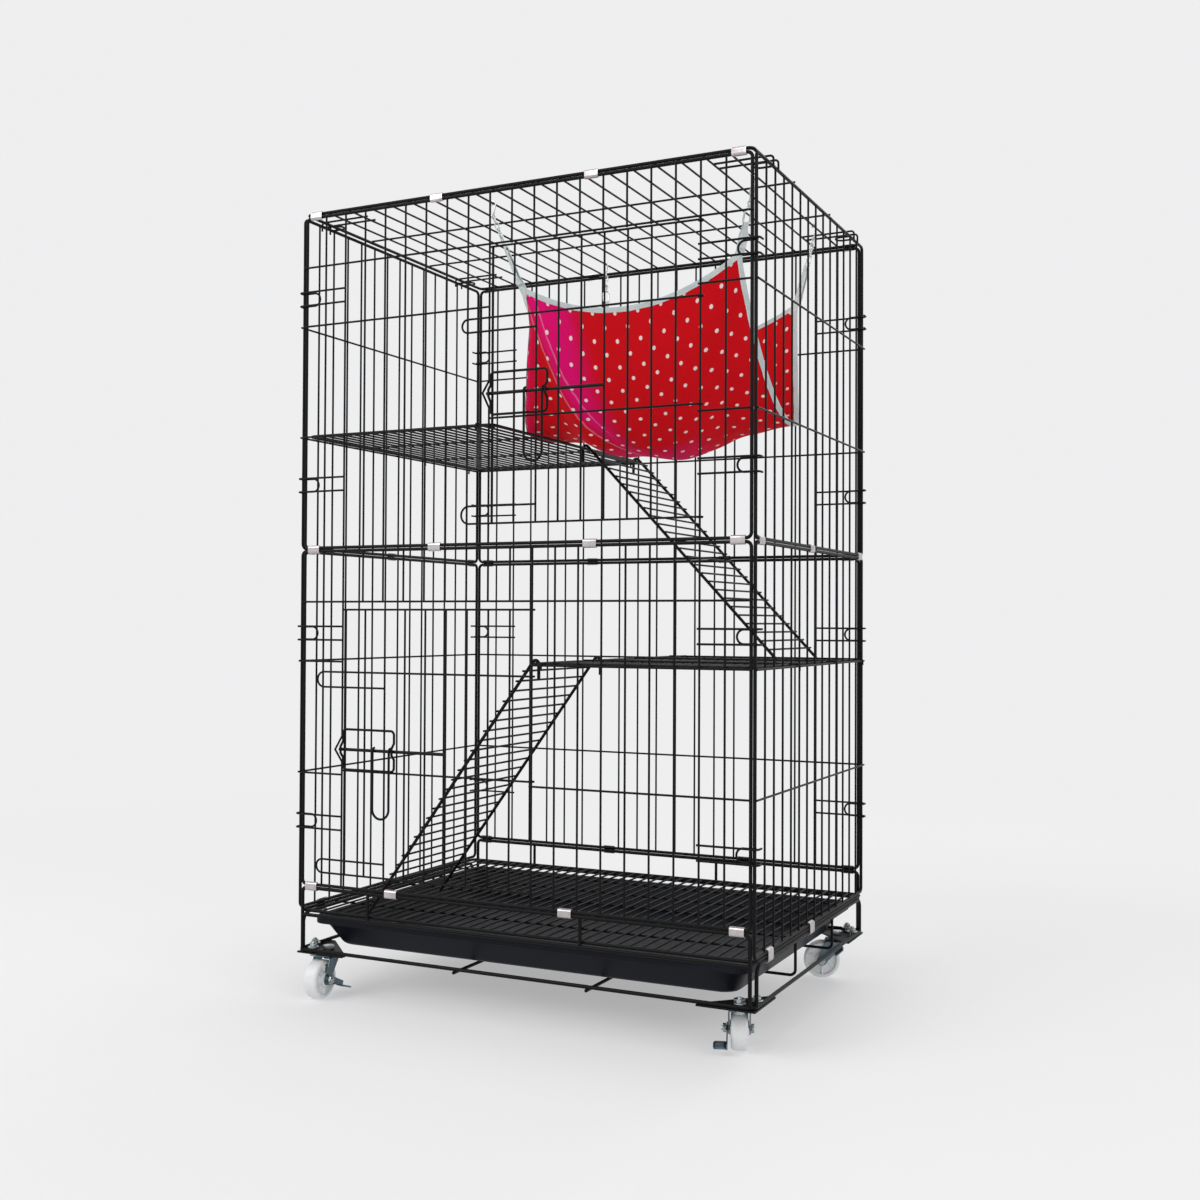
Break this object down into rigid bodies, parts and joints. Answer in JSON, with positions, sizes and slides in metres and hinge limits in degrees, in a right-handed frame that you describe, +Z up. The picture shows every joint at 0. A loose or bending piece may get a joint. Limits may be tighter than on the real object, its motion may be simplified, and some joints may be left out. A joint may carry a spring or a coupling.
{
  "type": "cat cage",
  "caption": "Tall two storey wire cage with hinged doors, shelves, hooked ladders, a hanging cloth hammock, a slide-out tray and swivel casters.",
  "frame": {"origin": "on the floor, under the middle of the cage's wire walls", "axes": "+Z up, +Y from the front with the doors to the back, +X to the right seen from the front"},
  "size_m": [0.623, 0.4669, 0.998],
  "materials": {
    "black_wire": "satin black coating over welded steel wire",
    "black_plate": "satin black coating over pressed steel",
    "black_plastic": "fine grained black moulded plastic",
    "caster_steel": "zinc plated pressed sheet",
    "wheel_plastic": "smooth white moulded plastic",
    "bolt_steel": "bright zinc plated",
    "clip_steel": "bright zinc plated spring sheet",
    "hammock_fabric": "red woven cotton with small white dots and a pale binding",
    "webbing": "pale grey woven webbing",
    "hammock_metal": "nickel plated wire"
  },
  "bodies": {
    "cage": {"base_frame": "black_wire", "tray_support_front": "black_wire", "tray_support_rear": "black_wire", "base_cross_left": "black_wire", "base_cross_right": "black_wire", "floor_grid": "black_wire", "corner_plate_fl": "black_plate", "corner_plate_fr": "black_plate", "corner_plate_bl": "black_plate", "corner_plate_br": "black_plate", "swivel_bearings": "black_plate", "kingpins": "bolt_steel", "kingpin_nuts": "bolt_steel", "clamp_bolts": "bolt_steel", "lower_front_wall": "black_wire", "lower_back_wall": "black_wire", "lower_left_wall": "black_wire", "lower_right_wall": "black_wire", "upper_front_wall": "black_wire", "upper_back_wall": "black_wire", "upper_left_wall": "black_wire", "upper_right_wall": "black_wire", "roof": "black_wire", "lower_shelf": "black_wire", "upper_shelf": "black_wire", "hammock_cloth": "hammock_fabric", "hammock_straps": "webbing", "hammock_snaps": "hammock_metal", "hammock_chains": "hammock_metal", "hammock_hooks": "hammock_metal", "roof_clips": "clip_steel", "junction_clips": "clip_steel", "base_clips": "clip_steel"},
    "tray": {"tray": "black_plastic"},
    "lower_door": {"lower_door": "black_wire"},
    "upper_door": {"upper_door": "black_wire"},
    "lower_bolt": {"lower_latch_bolt": "black_wire"},
    "upper_bolt": {"upper_latch_bolt": "black_wire"},
    "lower_handle": {"lower_latch_handle": "black_wire"},
    "upper_handle": {"upper_latch_handle": "black_wire"},
    "lower_ladder": {"lower_ladder": "black_wire"},
    "upper_ladder": {"upper_ladder": "black_wire"},
    "fork_fl": {"fork_fl": "caster_steel", "axle_fl": "bolt_steel"},
    "wheel_fl": {"wheel_fl": "wheel_plastic"},
    "lever_fl": {"brake_lever_fl": "caster_steel"},
    "fork_fr": {"fork_fr": "caster_steel", "axle_fr": "bolt_steel"},
    "wheel_fr": {"wheel_fr": "wheel_plastic"},
    "lever_fr": {"brake_lever_fr": "caster_steel"},
    "fork_bl": {"fork_bl": "caster_steel", "axle_bl": "bolt_steel"},
    "wheel_bl": {"wheel_bl": "wheel_plastic"},
    "lever_bl": {"brake_lever_bl": "caster_steel"},
    "fork_br": {"fork_br": "caster_steel", "axle_br": "bolt_steel"},
    "wheel_br": {"wheel_br": "wheel_plastic"},
    "lever_br": {"brake_lever_br": "caster_steel"}
  },
  "joints": [
    {"name": "tray_slide", "type": "slide", "parent": "cage", "child": "tray", "axis": [0, -1, 0], "range_m": [0, 0.38]},
    {"name": "lower_door_hinge", "type": "hinge", "parent": "cage", "child": "lower_door", "pos_m": [0.03, -0.21575, 0.2931], "axis": [0, 0, 1], "range_deg": [0, 160]},
    {"name": "lower_bolt_slide", "type": "slide", "parent": "lower_door", "child": "lower_bolt", "axis": [-1, 0, 0], "range_m": [0, 0.023]},
    {"name": "lower_handle_hinge", "type": "hinge", "parent": "lower_bolt", "child": "lower_handle", "pos_m": [-0.176, -0.2202, 0.3161], "axis": [-1, 0, 0], "range_deg": [0, 120]},
    {"name": "upper_door_hinge", "type": "hinge", "parent": "cage", "child": "upper_door", "pos_m": [0.24, -0.21575, 0.7184], "axis": [0, 0, 1], "range_deg": [0, 160]},
    {"name": "upper_bolt_slide", "type": "slide", "parent": "upper_door", "child": "upper_bolt", "axis": [-1, 0, 0], "range_m": [0, 0.023]},
    {"name": "upper_handle_hinge", "type": "hinge", "parent": "upper_bolt", "child": "upper_handle", "pos_m": [0.034, -0.2202, 0.7464], "axis": [-1, 0, 0], "range_deg": [0, 120]},
    {"name": "lower_ladder_hook", "type": "hinge", "parent": "cage", "child": "lower_ladder", "pos_m": [0.028, -0.1205, 0.4264], "axis": [0, 1, 0], "range_deg": [0, 18]},
    {"name": "upper_ladder_hook", "type": "hinge", "parent": "cage", "child": "upper_ladder", "pos_m": [-0.028, 0.1205, 0.7107], "axis": [0, -1, 0], "range_deg": [0, 12]},
    {"name": "swivel_fl", "type": "hinge", "parent": "cage", "child": "fork_fl", "pos_m": [-0.2783, -0.189, 0.0505], "axis": [0, 0, 1], "continuous": true},
    {"name": "wheel_spin_fl", "type": "hinge", "parent": "fork_fl", "child": "wheel_fl", "pos_m": [-0.27691, -0.20895, 0.024], "axis": [0.9976, 0.0698, 0], "continuous": true},
    {"name": "brake_fl", "type": "hinge", "parent": "fork_fl", "child": "lever_fl", "pos_m": [-0.27691, -0.20895, 0.024], "axis": [-0.9976, -0.0698, 0], "range_deg": [-60, 0]},
    {"name": "swivel_fr", "type": "hinge", "parent": "cage", "child": "fork_fr", "pos_m": [0.2783, -0.189, 0.0505], "axis": [0, 0, 1], "continuous": true},
    {"name": "wheel_spin_fr", "type": "hinge", "parent": "fork_fr", "child": "wheel_fr", "pos_m": [0.27146, -0.17021, 0.024], "axis": [-0.9397, -0.342, 0], "continuous": true},
    {"name": "brake_fr", "type": "hinge", "parent": "fork_fr", "child": "lever_fr", "pos_m": [0.27146, -0.17021, 0.024], "axis": [0.9397, 0.342, 0], "range_deg": [-60, 0]},
    {"name": "swivel_bl", "type": "hinge", "parent": "cage", "child": "fork_bl", "pos_m": [-0.2783, 0.189, 0.0505], "axis": [0, 0, 1], "continuous": true},
    {"name": "wheel_spin_bl", "type": "hinge", "parent": "fork_bl", "child": "wheel_bl", "pos_m": [-0.28177, 0.2087, 0.024], "axis": [-0.9848, -0.1736, 0], "continuous": true},
    {"name": "brake_bl", "type": "hinge", "parent": "fork_bl", "child": "lever_bl", "pos_m": [-0.28177, 0.2087, 0.024], "axis": [0.9848, 0.1736, 0], "range_deg": [0, 60]},
    {"name": "swivel_br", "type": "hinge", "parent": "cage", "child": "fork_br", "pos_m": [0.2783, 0.189, 0.0505], "axis": [0, 0, 1], "continuous": true},
    {"name": "wheel_spin_br", "type": "hinge", "parent": "fork_br", "child": "wheel_br", "pos_m": [0.25917, 0.18315, 0.024], "axis": [0.2924, -0.9563, 0], "continuous": true},
    {"name": "brake_br", "type": "hinge", "parent": "fork_br", "child": "lever_br", "pos_m": [0.25917, 0.18315, 0.024], "axis": [-0.2924, 0.9563, 0], "range_deg": [0, 60]}
  ]
}
